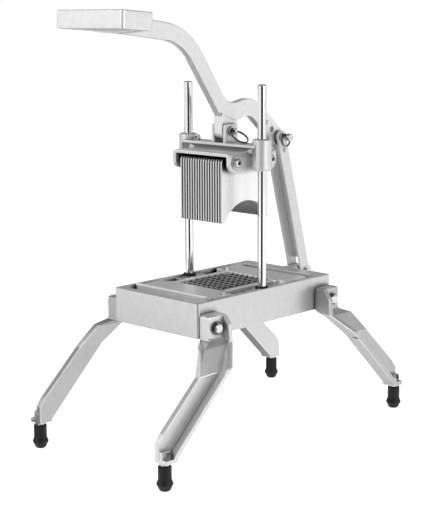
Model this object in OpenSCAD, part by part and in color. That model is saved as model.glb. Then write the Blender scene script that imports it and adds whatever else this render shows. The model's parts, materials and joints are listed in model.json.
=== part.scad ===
// French fry cutter: a lever press on four bolted legs. The carriage slides down two guide rods
// and pushes a potato through a grid of blades in the tray. +X is right, +Y is the back, +Z is up.
// The origin is on the floor, below the middle of the tray. All sizes are in millimetres.

/* [Stand] */
// Height of the tray's underside above the floor
stand_h = 177; // [150:1:200]
// Distance that each leg runs past the end of the tray
leg_reach = 117; // [95:1:130]
// Distance that each leg steps out from the side of the tray
leg_kick = 32.5; // [26:0.5:38]
// Width of the leg's pad on the side of the tray
leg_pad_w = 38; // [32:1:44]
// Height of the leg's pad on the side of the tray
leg_pad_h = 35; // [30:1:42]
// Thickness of the flange along a leg's inner edge
leg_flange_t = 7; // [5:0.5:9]
// Height of a rubber foot
foot_h = 35; // [28:1:40]
// Widest diameter of a rubber foot
foot_d = 23.5; // [21:0.5:27]

/* [Tray] */
// Length of the tray, front to back
tray_len = 290; // [280:1:310]
// Width of the tray
tray_w = 171; // [166:1:180]
// Height of the tray
tray_h = 50; // [44:1:58]
// Thickness of the tray's walls
tray_wall = 7; // [5:0.5:8]
// Thickness of the tray's top rim
rim_t = 8; // [6:0.5:10]
// Width of the rim at the front
rim_front = 12.5; // [10:0.5:18]
// Width of the rim at the back
rim_back = 25.5; // [18:0.5:28]
// Radius of the tray's upright corners
tray_corner_r = 5; // [2:0.5:7]

/* [Guide rods] */
// Diameter of a guide rod
rod_d = 12.7; // [11:0.1:14]
// Height of the rods above the tray
rod_rise = 293.4; // [260:1:330]
// Distance from the tray's side to a rod's middle
rod_inset = 11.6; // [11:0.1:12.5]

/* [Blades] */
// Spacing of the blades that run front to back
cell_x = 10.05; // [9:0.05:10.5]
// Spacing of the blades that run side to side
cell_y = 13.3; // [12:0.05:13.6]
// Cells from side to side of the grid
cells_x = 9; // [7:1:9]
// Cells from front to back of the grid
cells_y = 8; // [6:1:8]
// Thickness of a blade
blade_t = 0.8; // [0.5:0.1:1.2]
// Height of a blade
blade_h = 12.7; // [10:0.1:15]
// Thickness of the blade frame
blade_frame_t = 8; // [6:0.5:10]

/* [Carriage] */
// Height of the pusher plates' lower edge above the tray
pusher_gap = 95.5; // [80:0.5:110]
// Height of a pusher plate
pusher_h = 95.5; // [85:0.5:105]
// Depth of a pusher plate, front to back
pusher_depth = 104; // [98:0.2:110]
// Thickness of a pusher plate
pusher_t = 3; // [2:0.1:3.6]
// Outer diameter of a slide housing
housing_d = 28; // [25:0.5:30]
// Height of a slide housing
housing_h = 45; // [38:1:55]
// Diameter of the lever's pull pins
pin_d = 9.5; // [8:0.1:10.5]

/* [Lever and link] */
// Distance from the clevis pin to the front of the handle
lever_reach = 258.6; // [240:1:275]
// Height of the handle's underside above the clevis pin
lever_rise = 149.8; // [140:1:160]
// Thickness of the lever's arm
arm_t = 12; // [9:0.5:14]
// Width of the handle
handle_w = 132.6; // [110:1:150]
// Depth of the handle, front to back
handle_depth = 55; // [48:1:64]
// Height of the handle's bars
handle_h = 24.5; // [20:0.5:28]
// Width of the link
link_w = 28; // [26:0.5:32]
// Depth of the link
link_depth = 19.4; // [17:0.2:21]
// Thickness of the link's walls
link_t = 3.5; // [2.5:0.25:4]

/* [Hidden] */

$fn = 64;
// Overrun of every cut
cut = 1;
// Degrees that one straight step of a rounded corner covers
arc_step = 7.5;
// Gap between a shaft and its bore, on the radius
running_gap = 0.05;
// Gap between pieces that slide past each other
side_gap = 0.3;

// Places that several pieces share
tray_top = stand_h + tray_h;
side_x = tray_w / 2;
end_y = tray_len / 2;
rod_x = side_x - rod_inset;
rod_top = tray_top + rod_rise;

// Pocket in the top of the tray, and the hollow below it
pocket_r = 12;
hollow_r = 2;
pocket_x = side_x - tray_wall;
pocket_front = -end_y + rim_front;
pocket_back = end_y - rim_back;
// Drop from the rim to the ledges that carry the blade frame
ledge_drop = 8;
ledge_t = 9;
ledge_w = 34;
ledge_y = 69;
ledge_z = tray_top - ledge_drop;
ledge_x = pocket_x - ledge_w / 2;

// Column that holds a guide rod
column_r = 14;
column_drop = 2;
column_h = 38;
column_pad_y = 28;
column_pad_drop = 1;
column_pad_t = 20;
column_top = tray_top - column_drop;
// Depth to which a rod sits in its column
rod_seat = 13;
screw_d = 8;
screw_head_d = 12.4;
screw_head_h = 7;
screw_head_gap = 0.4;
screw_thread = 16;
screw_key_d = 6.4;
screw_key_depth = 4;
rod_foot_z = column_top - rod_seat;
// Thickness of the column under the rod
column_floor = 8;
screw_gap = 0.1;
screw_seat_z = rod_foot_z - column_floor;
rod_head_r = 2.5;

// Rubber ring at the foot of a rod
bumper_d = 20;
bumper_h = 4.2;
bumper_gap = 0.1;
bumper_edge = 1.2;

// Legs
leg_foot_gap = 3;
leg_sole_t = 6;
leg_z = foot_h + leg_foot_gap;
leg_drop = stand_h - leg_z;
leg_end_y = end_y + leg_reach;
leg_bend_r = 3;
leg_corner_r = 3;
// Outward steps of the leg's web and flange, as shares of leg_kick, and heights, as shares of leg_drop
web_out_share = [[0.538, 1.014], [0.846, 0.950], [1.277, 0.734], [1.277, 0]];
web_in_share = [[1, 0], [1, 0.719], [0.5, 0.94], [0, 1]];
flange_out_share = [[0.538, 1.245], [0.877, 1.144], [0.938, 0.971], [1.708, 0.770], [1.708, 0]];
// The leg's outer and inner edge seen from the side: shares of leg_reach and of leg_drop
edge_out_share = [[-0.026, 1.0], [0.14, 0.95], [0.342, 0.722], [0.923, 0.273], [1, 0.187], [1, 0]];
edge_in_share = [[0.812, 0], [0.812, 0.029], [0, 0.691]];
// Height of the flange's start, as a share of leg_drop
flange_start_share = 0.971;
leg_bolt_d = 8;
leg_bolt_in = 18;
leg_bolt_up = 16.5;
leg_bolt_y = end_y - leg_bolt_in;
leg_bolt_z = stand_h + leg_bolt_up;
leg_washer_d = 19;
leg_washer_t = 1.8;
hex_share = 1.155;
leg_hex_w = 13;
leg_hex_h = 5.4;
leg_hex_edge = 1;
leg_nut_h = 6.5;
bolt_tail = 2;
bolt_hole_gap = 0.3;
// Outer face of the leg's pad
leg_pad_x = side_x + web_out_share[0][0] * leg_kick;
// Front edge of the leg's pad
leg_pad_y = end_y + edge_out_share[0][0] * leg_reach;

// Feet
foot_neck_d = 18.6;
foot_flare_z = 10;
foot_waist_z = 16;
foot_flat_d = 14;
foot_lip_r = 2;
foot_tip_r = 4;
foot_rim_r = 2.5;
foot_belly_r = 9;
foot_stud_d = 8;
foot_stud_depth = 20;
foot_stud_up = 12;
foot_boss_r = 8;
foot_boss_h = 16;
foot_nut_w = 13;
foot_in = 8;
foot_x_share = 0.5;
foot_y = leg_end_y - foot_in;
sole_x0 = side_x + leg_kick;
sole_x1 = side_x + flange_out_share[3][0] * leg_kick;
foot_x = sole_x0 + (sole_x1 - sole_x0) * foot_x_share;

// Blade frame
frame_side_gap = 3.5;
frame_front_gap = 18.5;
frame_back_gap = 15.5;
frame_waist = 7.8;
frame_rail = 6.4;
frame_back_step = 13;
frame_corner_r = 8;
frame_fillet_r = 12;
frame_wing_x = pocket_x - frame_side_gap;
frame_front = pocket_front + frame_front_gap;
frame_back = pocket_back - frame_back_gap;
frame_back_wing = ledge_y - frame_back_step;
// Raised lip along the frame's front edge
lip_w = 11;
lip_h = 1.5;
// Gap between the last blade and the end of the window
grid_margin = 2.4;
blade_gap = 0.1;
blade_tab = 5;
blade_edge = 1.6;
// Drop from the frame's top to the blades' cutting edges
blade_drop = 2;
frame_z1 = ledge_z + blade_frame_t;
blade_z1 = frame_z1 - blade_drop;
blade_z0 = blade_z1 - blade_h;
grid_x_half = cells_x * cell_x / 2;
grid_y_half = cells_y * cell_y / 2 + grid_margin;
frame_waist_x = grid_x_half + frame_waist;
frame_front_wing = -grid_y_half - frame_rail;
blade_stud_d = 6;
blade_stud_tail = 4.2;
blade_nut_w = 10;
blade_nut_h = 3.2;
blade_nut_edge = 0.6;

// Crosshead
bush_wall = 3;
bush_in = 0.5;
housing_edge = 1.5;
bush_d = rod_d + 2 * bush_wall;
deck_drop = 9;
deck_t = 3.5;
deck_y = 15;
beam_y = 9;
yoke_out_x = 57;
yoke_cheek_t = 6;
yoke_drop = 10;
yoke_top_t = 5;
yoke_y = 50.5;
yoke_r = 6;
yoke_in_r = 1.5;
// Heights from the pusher plates up: the yoke on top of them, then the deck and the housings
pusher_top_gap = 1;
pusher_z0 = tray_top + pusher_gap;
yoke_top = pusher_z0 + pusher_h + pusher_top_gap + yoke_top_t;
deck_top = yoke_top + yoke_drop;
housing_top = deck_top + deck_drop;
housing_z0 = housing_top - housing_h;
cheek_h = 28;
cheek_r = 13;
cheek_relief = 2;
cheek_relief_y = 17;
tie_y = 36.5;
tie_drop = 13.5;
tie_z = yoke_top - tie_drop;
yoke_in_x = yoke_out_x - yoke_cheek_t;
ear_t = 5;
ear_gap = 18;
ear_x = ear_gap / 2 + ear_t;
ear_front = -12.7;
ear_back = 14;
ear_h = 27;
ear_r = 3;
eye_r = 5;
eye_hole_d = 4;
eye_t = 5;
eye_in = 4;
eye_x = -rod_x + housing_d / 2 + eye_in;
pin_up = 17;
pivot_z = deck_top + pin_up;

// Pusher plates
pusher_pitch = cell_x / 2;
pusher_count = 2 * cells_x - 1;
pusher_mid_y = 2.2;
pusher_arch_w = 91;
pusher_arch_h = 29;
pusher_corner_r = 10;
pusher_arch_steps = 16;
pusher_foot_r = 1;
spacer_d = 13;
tie_d = 8;
tie_head_d = 13;
tie_head_h = 5;
tie_washer_d = 18;
tie_washer_t = 1.8;
tie_nut_w = 12;
tie_nut_h = 6;
tie_key_d = 5.8;
tie_key_depth = 3;
tie_tail = 2;
tie_hole_gap = 0.2;

// Lever, in places measured from the clevis pin
tongue_t = 16;
hub_r = 13;
// Back pin of the lever, measured from the clevis pin
tail_y = 113.5;
tail_drop = 16.5;
tail_r = 12.4;
tail_hole_d = 8;
tail_hole_pitch = 18.3;
tail_slope = -40.4;
// Outline of the arm: shares of lever_reach and lever_rise, and the radius of each bend
arm_top_share = [[-0.804, 1.129], [-0.296, 1.006], [0.013, 0.247], [0.220, 0.324]];
arm_low_share = [[0.1875, 0.150], [0.076, 0.085]];
arm_under_share = [[-0.0503, 0.1415], [-0.3445, 0.8605], [-0.804, 0.956]];
arm_top_r = [0, 98, 30, 45];
arm_low_r = [22, 3];
arm_under_r = [8, 75, 0];
// Outline of the thicker tongue: shares of lever_reach and lever_rise
tongue_share = [[-0.0503, 0.178], [-0.0225, 0.1435], [0.022, 0.111], [0.0595, 0.097],
    [0.076, 0.085], [0.068, 0.013]];
handle_tilt = -4;
handle_side = 17;
handle_front = 16;
handle_back = 14;
handle_r = 5;
handle_in_r = 4;
handle_belly = 3.5;
handle_belly_share = 0.76;
handle_belly_steps = 12;

// Link, in places measured along its own length
link_foot_out = 27;
link_foot_drop = 9;
link_foot_y = end_y + link_foot_out;
link_foot_z = tray_top - link_foot_drop;
link_end_r = link_depth / 2;
link_web_top = 16;
link_web_foot = 19;
link_hole_d = 7;
link_hole_pitch = 21;
tail_pivot_y = tail_y;
tail_pivot_z = pivot_z - tail_drop;
link_run_y = link_foot_y - tail_pivot_y;
link_run_z = tail_pivot_z - link_foot_z;
link_len = sqrt(link_run_y * link_run_y + link_run_z * link_run_z);
link_lean = atan(link_run_y / link_run_z);
link_spacer_d = 16;

// Lug on the back of the tray, with a slot that takes up the play of the coupled joints
lug_gap = 1;
lug_r = 10;
lug_wall = 7.5;
slot_front = 6;
slot_back = 6.9;
slot_up = 0.8;
slot_down = 3.9;
foot_pin_head_d = 14;
foot_pin_head_t = 3;
foot_pin_tail = 5;
clip_t = 1.2;
clip_d = 15;

// Pull pins and their rings
pin_tail = 2.5;
pin_edge = 1;
collar_gap = 0.2;
collar_d = 13;
collar_t = 3;
tab_t = 4;
tab_w = 9;
tab_len = 7;
tab_hole_d = 4;
tab_hole_in = 3.8;
ring_wire = 1.6;
ring_coil = 1.5;
clevis_ring_d = 26;
neck_d = 7;
neck_len = 9;
knob_d = 12;
knob_t = 6;
rear_ring_d = 18.5;
ring_gap = 0.3;
// Where the flat tab of the clevis pin starts, and how steeply its ring leans on the deck
tab_x0 = ear_x + collar_gap + collar_t;
ring_slope = asin((pin_up - ring_gap - ring_wire) / clevis_ring_d);

steel = [0.72, 0.73, 0.74];
cast = [0.80, 0.80, 0.81];
black = [0.08, 0.08, 0.08];
zinc = [0.62, 0.63, 0.65];
bronze = [0.70, 0.55, 0.30];

function unit(v) = v / norm(v);
function xy(p) = [p[0], p[1]];

// Points along a corner b of radius r between its neighbours a and c
function corner(a, b, c, r) =
    let (
        u = unit(a - b),
        v = unit(c - b),
        half = acos(u * v) / 2,
        centre = b + unit(u + v) * r / sin(half),
        first = b + u * r / tan(half) - centre,
        last = b + v * r / tan(half) - centre,
        turn = first[0] * last[1] > first[1] * last[0] ? 1 : -1,
        start = atan2(first[1], first[0]),
        sweep = 180 - 2 * half,
        steps = max(1, ceil(sweep / arc_step))
    )
    [for (i = [0 : steps])
        let (angle = start + turn * sweep * i / steps)
        centre + r * [cos(angle), sin(angle)]];

// Outline through [x, y, r] points, each corner rounded to its own radius
function rounded(pts) =
    let (n = len(pts))
    [for (i = [0 : n - 1])
        let (a = xy(pts[(i + n - 1) % n]), b = xy(pts[i]), c = xy(pts[(i + 1) % n]))
        each pts[i][2] > 0 ? corner(a, b, c, pts[i][2]) : [b]];

// Points of a share table placed in a frame of origin o and unit lengths u, with a radius each
function placed(shares, o, u, r) =
    [for (i = [0 : len(shares) - 1])
        [o[0] + shares[i][0] * u[0], o[1] + shares[i][1] * u[1], is_list(r) ? r[i] : r]];

// Band of width t on the right-hand side of an open line of points
function band(pts, t) =
    let (
        n = len(pts),
        side = [for (i = [0 : n - 2])
            let (d = unit(pts[i + 1] - pts[i]))
            [d[1], -d[0]]],
        out = [for (i = [0 : n - 1])
            let (
                m0 = side[max(0, i - 1)],
                m1 = side[min(n - 2, i)],
                m = unit(m0 + m1)
            )
            pts[i] + m * t / (m * m0)]
    )
    concat(pts, [for (i = [0 : n - 1]) out[n - 1 - i]]);

// Extrusions along each axis, of an outline drawn in the plane across it
module along_x(x0, x1) {
    translate([x0, 0, 0]) rotate([90, 0, 90]) linear_extrude(x1 - x0) children();
}
module along_y(y0, y1) {
    translate([0, y1, 0]) rotate([90, 0, 0]) linear_extrude(y1 - y0) children();
}
module along_z(z0, z1) {
    translate([0, 0, z0]) linear_extrude(z1 - z0) children();
}
module rect(x0, x1, y0, y1, r = 0) {
    polygon(rounded([[x0, y0, r], [x1, y0, r], [x1, y1, r], [x0, y1, r]]));
}
module hex(w) {
    circle(d = w * hex_share, $fn = 6);
}
// A turned piece: an outline of [radius, height, corner] points about a vertical axis
module turned(pts) {
    rotate_extrude() polygon(rounded(pts));
}
// Turns an upright child so that its axis points along +X
module lay_x() {
    rotate([0, 90, 0]) children();
}
module ring_of(mean_d) {
    rotate_extrude()
        for (side = [-1, 1])
            translate([mean_d / 2, side * ring_coil / 2]) circle(d = ring_wire, $fn = 16);
}

// The tray: walls and rim, ledges for the blade frame, rod columns and the link's lug
module base_frame() {
    lug_y1 = link_foot_y + slot_back + pin_d / 2 + lug_wall;
    lug_z0 = link_foot_z - slot_down - pin_d / 2 - lug_wall;
    lug_x = link_w / 2 - link_t - lug_gap;
    color(cast) difference() {
        union() {
            difference() {
                along_z(stand_h, tray_top) rect(-side_x, side_x, -end_y, end_y, tray_corner_r);
                along_z(stand_h - cut, tray_top - rim_t)
                    rect(-pocket_x, pocket_x, -end_y + tray_wall, end_y - tray_wall, hollow_r);
                along_z(tray_top - rim_t - cut, tray_top + cut)
                    rect(-pocket_x, pocket_x, pocket_front, pocket_back, pocket_r);
            }
            for (sx = [-1, 1]) {
                for (sy = [-1, 1])
                    along_z(ledge_z - ledge_t, ledge_z)
                        translate([sx * (ledge_x + tray_wall / 4), sy * ledge_y])
                            square([ledge_w + tray_wall / 2, ledge_w], center = true);
                intersection() {
                    translate([0, 0, column_top - column_h]) linear_extrude(column_h)
                        translate([sx * rod_x, 0]) circle(r = column_r);
                    along_z(stand_h, tray_top) rect(-side_x, side_x, -end_y, end_y);
                }
                along_z(column_top - column_pad_drop - column_pad_t, column_top - column_pad_drop)
                    translate([sx * (rod_x + pocket_x - column_r + tray_wall) / 2, 0])
                        square([pocket_x - rod_x + column_r, 2 * column_pad_y], center = true);
            }
            along_x(-lug_x, lug_x) {
                rect(end_y, lug_y1, lug_z0, tray_top, lug_r);
                rect(end_y - tray_wall / 2, end_y + lug_r, lug_z0, tray_top - tray_wall / 2);
                rect(end_y, end_y + lug_r, lug_z0, tray_top);
            }
        }
        for (sx = [-1, 1]) {
            translate([sx * rod_x, 0, column_top])
                cylinder(d = bumper_d + 2 * side_gap, h = column_drop + cut);
            translate([sx * rod_x, 0, rod_foot_z])
                cylinder(d = rod_d + 2 * running_gap, h = rod_seat + cut);
            translate([sx * rod_x, 0, column_top - column_h - cut])
                cylinder(d = screw_d + 2 * bolt_hole_gap, h = column_h);
            translate([sx * rod_x, 0, column_top - column_h - cut])
                cylinder(d = screw_head_d + 2 * screw_head_gap,
                    h = screw_seat_z - column_top + column_h + cut);
            for (sy = [-1, 1])
                translate([sx * (side_x - tray_wall / 2), sy * leg_bolt_y, leg_bolt_z]) lay_x()
                    cylinder(d = leg_bolt_d + 2 * bolt_hole_gap, h = 3 * tray_wall, center = true);
        }
        for (s = [-1, 1])
            translate([-s * ledge_x, s * ledge_y, ledge_z - ledge_t - cut])
                cylinder(d = blade_stud_d, h = ledge_t + 2 * cut);
        along_x(-lug_x - cut, lug_x + cut)
            rect(link_foot_y - slot_front - pin_d / 2, link_foot_y + slot_back + pin_d / 2,
                link_foot_z - slot_down - pin_d / 2, link_foot_z + slot_up + pin_d / 2, pin_d / 2.1);
    }
}

// One leg at the corner sx, sy: a bent web, a flange along its inner edge and a sole over the foot
module leg(sx, sy) {
    top = stand_h + leg_pad_h;
    face = [side_x, leg_z];
    face_unit = [leg_kick, leg_drop];
    edge = [end_y, leg_z];
    edge_unit = [leg_reach, leg_drop];
    web = rounded(concat(
        [[leg_pad_x, top, leg_corner_r]],
        placed(web_out_share, face, face_unit, [leg_bend_r, leg_bend_r, leg_bend_r, 0]),
        placed(web_in_share, face, face_unit, [0, leg_bend_r, leg_bend_r, leg_bend_r]),
        [[side_x, top, 0]]));
    flange = rounded(concat(
        [[leg_pad_x - leg_corner_r, top, 0]],
        placed(flange_out_share, face, face_unit, [0, leg_corner_r, leg_bend_r, leg_bend_r, 0]),
        placed(web_in_share, face, face_unit, 0),
        [[side_x, top, 0]]));
    flange_start = [end_y - leg_pad_w, leg_z + flange_start_share * leg_drop];
    outline = rounded(concat(
        [[leg_pad_y, top, leg_corner_r * 2]],
        placed(edge_out_share, edge, edge_unit,
            [leg_bend_r, leg_bend_r, leg_bend_r, leg_corner_r, leg_corner_r, 0]),
        placed(edge_in_share, edge, edge_unit, [0, 0, leg_bend_r]),
        [[flange_start[0], flange_start[1], leg_bend_r], [end_y - leg_pad_w, top, leg_corner_r * 2]]));
    inner_edge = concat(
        [for (p = placed(edge_in_share, edge, edge_unit, 0)) xy(p)],
        [flange_start, [end_y - leg_pad_w, top]]);
    color(cast) mirror([sx < 0 ? 1 : 0, 0, 0]) mirror([0, sy < 0 ? 1 : 0, 0])
        difference() {
            intersection() {
                union() {
                    along_y(end_y - leg_pad_w - cut, leg_end_y + cut) polygon(web);
                    intersection() {
                        along_y(end_y - leg_pad_w - cut, leg_end_y + cut) polygon(flange);
                        along_x(side_x - cut, sole_x1 + cut) polygon(band(inner_edge, leg_flange_t));
                    }
                    along_z(leg_z, leg_z + leg_sole_t)
                        rect(sole_x0, sole_x1, end_y + edge_in_share[0][0] * leg_reach, leg_end_y);
                    translate([foot_x, foot_y, leg_z]) cylinder(r = foot_boss_r, h = foot_boss_h);
                }
                along_x(side_x - cut, sole_x1 + cut) polygon(outline);
            }
            translate([side_x, leg_bolt_y, leg_bolt_z]) lay_x()
                cylinder(d = leg_bolt_d + 2 * bolt_hole_gap, h = 3 * leg_kick, center = true);
            translate([foot_x, foot_y, leg_z - cut]) cylinder(d = foot_stud_d, h = foot_stud_up + cut);
        }
}
module leg_front_left() { leg(-1, -1); }
module leg_front_right() { leg(1, -1); }
module leg_rear_left() { leg(-1, 1); }
module leg_rear_right() { leg(1, 1); }

// Each leg is held by one bolt through its pad, with a washer outside and a nut inside the tray
module at_leg_bolts(x) {
    for (sx = [-1, 1], sy = [-1, 1])
        mirror([sx < 0 ? 1 : 0, 0, 0]) translate([x, sy * leg_bolt_y, leg_bolt_z]) lay_x() children();
}
module leg_bolts() {
    tail = pocket_x - leg_nut_h - bolt_tail;
    color(zinc) {
        at_leg_bolts(tail) cylinder(d = leg_bolt_d, h = leg_pad_x + leg_washer_t - tail);
        at_leg_bolts(leg_pad_x + leg_washer_t) intersection() {
            linear_extrude(leg_hex_h) hex(leg_hex_w);
            turned([[0, 0, 0], [leg_hex_w, 0, 0], [leg_hex_w / 2 - leg_hex_edge, leg_hex_h, 0],
                [0, leg_hex_h, 0]]);
        }
    }
}
module leg_washers() {
    color(zinc) at_leg_bolts(leg_pad_x) difference() {
        cylinder(d = leg_washer_d, h = leg_washer_t);
        translate([0, 0, -cut]) cylinder(d = leg_bolt_d, h = leg_washer_t + 2 * cut);
    }
}
module leg_nuts() {
    color(zinc) at_leg_bolts(pocket_x - leg_nut_h) difference() {
        linear_extrude(leg_nut_h) hex(leg_hex_w);
        translate([0, 0, -cut]) cylinder(d = leg_bolt_d, h = leg_nut_h + 2 * cut);
    }
}

// Feet: a rubber boot on a stud, locked under the leg by a nut
module at_feet(z) {
    for (sx = [-1, 1], sy = [-1, 1]) translate([sx * foot_x, sy * foot_y, z]) children();
}
module rubber_feet() {
    color(black) at_feet(0) difference() {
        turned([[0, 0, 0], [foot_flat_d / 2, 0, foot_tip_r], [foot_d / 2, foot_flare_z, foot_rim_r],
            [foot_neck_d / 2, foot_waist_z, foot_belly_r], [foot_neck_d / 2, foot_h, foot_lip_r],
            [0, foot_h, 0]]);
        translate([0, 0, foot_h - foot_stud_depth]) cylinder(d = foot_stud_d, h = foot_stud_depth + cut);
    }
}
module foot_studs() {
    color(zinc) at_feet(foot_h - foot_stud_depth)
        cylinder(d = foot_stud_d, h = foot_stud_depth + leg_foot_gap + foot_stud_up);
}
module foot_nuts() {
    color(zinc) at_feet(foot_h) difference() {
        linear_extrude(leg_foot_gap) hex(foot_nut_w);
        translate([0, 0, -cut]) cylinder(d = foot_stud_d, h = leg_foot_gap + 2 * cut);
    }
}

// Guide rods, each seated in its column and pulled down by a screw from below
module guide_rod(sx) {
    color(steel) translate([sx * rod_x, 0, rod_foot_z]) difference() {
        turned([[0, 0, 0], [rod_d / 2, 0, 0], [rod_d / 2, rod_top - rod_foot_z, rod_head_r],
            [0, rod_top - rod_foot_z, 0]]);
        translate([0, 0, -cut]) cylinder(d = screw_d + 2 * screw_gap, h = screw_thread + 2 * cut);
    }
}
module guide_rod_left() { guide_rod(-1); }
module guide_rod_right() { guide_rod(1); }
module rod_screws() {
    color(zinc) for (sx = [-1, 1])
        translate([sx * rod_x, 0, screw_seat_z]) {
            cylinder(d = screw_d, h = column_floor + screw_thread);
            translate([0, 0, -screw_head_h]) difference() {
                cylinder(d = screw_head_d, h = screw_head_h);
                translate([0, 0, -cut]) linear_extrude(screw_key_depth + cut) hex(screw_key_d);
            }
        }
}
module rod_bumpers() {
    color(black) for (sx = [-1, 1])
        translate([sx * rod_x, 0, column_top])
            turned([[rod_d / 2 + bumper_gap, 0, 0], [bumper_d / 2, 0, bumper_edge],
                [bumper_d / 2, bumper_h, bumper_edge * 2], [rod_d / 2 + bumper_gap, bumper_h, 0]]);
}

// The plate that holds the blades: wide wings at both ends and a waist between the rods
module blade_frame() {
    outline = rounded(concat(frame_side(1), frame_side(-1)));
    lip_r = (lip_w * lip_w / 4 + lip_h * lip_h) / (2 * lip_h);
    color(steel) difference() {
        union() {
            along_z(ledge_z, frame_z1) polygon(outline);
            intersection() {
                along_z(frame_z1 - cut, frame_z1 + lip_h + cut) polygon(outline);
                along_x(-frame_wing_x - cut, frame_wing_x + cut)
                    translate([frame_front + lip_w / 2, frame_z1 + lip_h - lip_r]) circle(r = lip_r);
            }
        }
        along_z(ledge_z - cut, frame_z1 + cut)
            rect(-grid_x_half, grid_x_half, -grid_y_half, grid_y_half, blade_edge);
        for (i = [1 : cells_x - 1])
            along_z(ledge_z - cut, frame_z1 + cut) translate([(i - cells_x / 2) * cell_x, 0])
                square([blade_t + 2 * blade_gap, 2 * (grid_y_half + blade_tab + blade_gap)], center = true);
        for (i = [1 : cells_y - 1])
            along_z(ledge_z - cut, frame_z1 + cut) translate([0, (i - cells_y / 2) * cell_y])
                square([2 * (grid_x_half + blade_tab + blade_gap), blade_t + 2 * blade_gap], center = true);
        for (s = [-1, 1])
            translate([-s * ledge_x, s * ledge_y, ledge_z - cut])
                cylinder(d = blade_stud_d + 2 * bolt_hole_gap, h = blade_frame_t + 2 * cut);
    }
}
// Half of the frame's outline, from the front to the back on the right, or back to front on the left
function frame_side(s) =
    let (pts = [[frame_wing_x, frame_front, frame_corner_r], [frame_wing_x, frame_front_wing, frame_corner_r],
        [frame_waist_x, frame_front_wing, frame_fillet_r], [frame_waist_x, frame_back_wing, frame_fillet_r],
        [frame_wing_x, frame_back_wing, frame_corner_r], [frame_wing_x, frame_back, frame_corner_r]])
    [for (i = [0 : len(pts) - 1])
        let (p = pts[s > 0 ? i : len(pts) - 1 - i])
        [s * p[0], p[1], p[2]]];

// One blade along its own length, with a tapered cutting edge on top and a slot at every crossing
module blade(half, count, pitch, from_below) {
    z0 = from_below ? blade_z0 - cut : blade_z0 + blade_h / 2 - blade_gap;
    z1 = from_below ? blade_z0 + blade_h / 2 + blade_gap : blade_z1 + cut;
    difference() {
        along_x(-half - blade_tab, half + blade_tab)
            polygon([[-blade_t / 2, blade_z0], [blade_t / 2, blade_z0], [blade_t / 2, blade_z1 - blade_edge],
                [blade_t / 8, blade_z1], [-blade_t / 8, blade_z1], [-blade_t / 2, blade_z1 - blade_edge]]);
        for (i = [1 : count - 1])
            along_z(z0, z1) translate([(i - count / 2) * pitch, 0])
                square([blade_t + 2 * blade_gap, blade_t + 2 * cut], center = true);
    }
}
module long_blades() {
    color(steel) for (i = [1 : cells_x - 1])
        translate([(i - cells_x / 2) * cell_x, 0, 0]) rotate([0, 0, 90])
            blade(grid_y_half, cells_y, cell_y, true);
}
module cross_blades() {
    color(steel) for (i = [1 : cells_y - 1])
        translate([0, (i - cells_y / 2) * cell_y, 0]) blade(grid_x_half, cells_x, cell_x, false);
}
module at_blade_studs(z) {
    for (s = [-1, 1]) translate([-s * ledge_x, s * ledge_y, z]) children();
}
module blade_studs() {
    color(zinc) at_blade_studs(ledge_z - ledge_t)
        cylinder(d = blade_stud_d, h = ledge_t + blade_frame_t + blade_stud_tail);
}
module blade_nuts() {
    color(zinc) at_blade_studs(frame_z1) difference() {
        intersection() {
            linear_extrude(blade_nut_h) hex(blade_nut_w);
            turned([[0, 0, 0], [blade_nut_w, 0, 0], [blade_nut_w / 2 - blade_nut_edge, blade_nut_h, 0],
                [0, blade_nut_h, 0]]);
        }
        translate([0, 0, -cut]) cylinder(d = blade_stud_d, h = blade_nut_h + 2 * cut);
    }
}

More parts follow.
